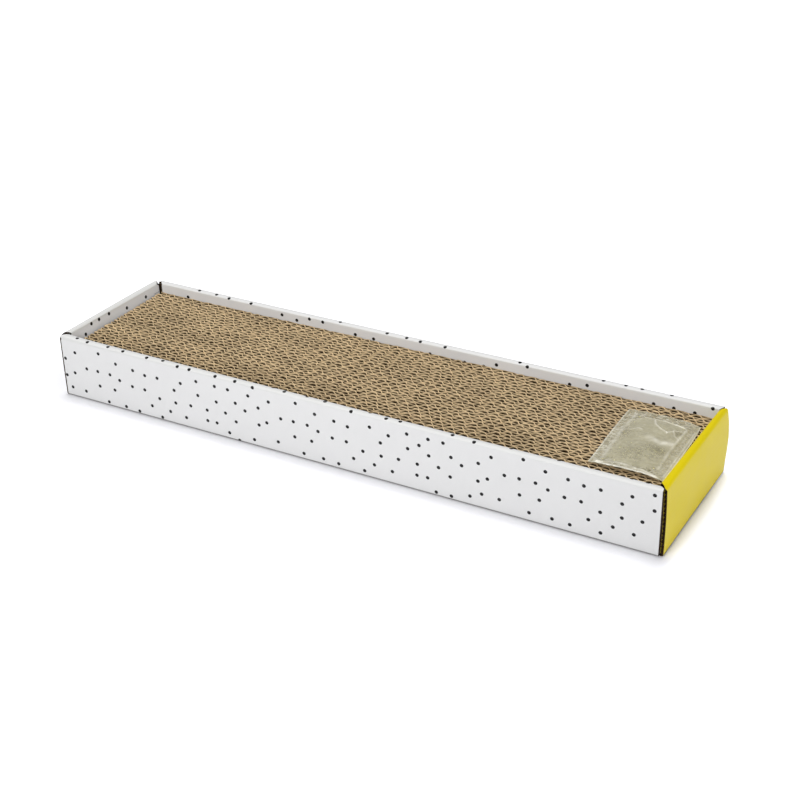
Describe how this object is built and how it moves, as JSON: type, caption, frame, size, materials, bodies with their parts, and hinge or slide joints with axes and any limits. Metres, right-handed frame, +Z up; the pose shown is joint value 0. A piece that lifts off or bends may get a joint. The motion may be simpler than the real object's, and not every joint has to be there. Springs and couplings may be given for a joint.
{
  "type": "cardboard cat scratcher",
  "caption": "Long low cat scratcher: a lift-out pad of corrugated strips on edge in a folded printed cardboard tray, with a loose catnip sachet on the pad.",
  "frame": {"origin": "bottom centre of the tray, on the floor", "axes": "+X along the tray's length towards the yellow end, +Y across the tray towards the back, +Z up"},
  "size_m": [0.48, 0.1188, 0.05],
  "materials": {
    "white_printed_board": "satin",
    "yellow_printed_board": "satin",
    "kraft_corrugated": "matte",
    "clear_film": "gloss",
    "dried_catnip": "matte"
  },
  "bodies": {
    "tray": {"base_panel": "white_printed_board", "front_wall": "white_printed_board", "back_wall": "white_printed_board", "left_end_wall": "white_printed_board", "right_end_wall": "yellow_printed_board", "front_left_flap": "white_printed_board", "front_right_flap": "white_printed_board", "back_left_flap": "white_printed_board", "back_right_flap": "white_printed_board"},
    "pad": {"pad_strip_01": "kraft_corrugated", "pad_strip_02": "kraft_corrugated", "pad_strip_03": "kraft_corrugated", "pad_strip_04": "kraft_corrugated", "pad_strip_05": "kraft_corrugated", "pad_strip_06": "kraft_corrugated", "pad_strip_07": "kraft_corrugated", "pad_strip_08": "kraft_corrugated", "pad_strip_09": "kraft_corrugated", "pad_strip_10": "kraft_corrugated", "pad_strip_11": "kraft_corrugated", "pad_strip_12": "kraft_corrugated", "pad_strip_13": "kraft_corrugated", "pad_strip_14": "kraft_corrugated", "pad_strip_15": "kraft_corrugated", "pad_strip_16": "kraft_corrugated", "pad_strip_17": "kraft_corrugated", "pad_strip_18": "kraft_corrugated", "pad_strip_19": "kraft_corrugated", "pad_strip_20": "kraft_corrugated", "pad_strip_21": "kraft_corrugated", "pad_strip_22": "kraft_corrugated", "pad_strip_23": "kraft_corrugated", "pad_strip_24": "kraft_corrugated", "pad_strip_25": "kraft_corrugated", "pad_strip_26": "kraft_corrugated", "pad_strip_27": "kraft_corrugated"},
    "sachet": {"sachet_back_film": "clear_film", "catnip_fill": "dried_catnip", "sachet_front_film": "clear_film"}
  },
  "joints": [
    {"name": "pad_lift", "type": "slide", "parent": "tray", "child": "pad", "axis": [0, 0, 1], "range_m": [0, 0.06]},
    {"name": "sachet_lift", "type": "slide", "parent": "pad", "child": "sachet", "axis": [0, 0, 1], "range_m": [0, 0.04]}
  ]
}
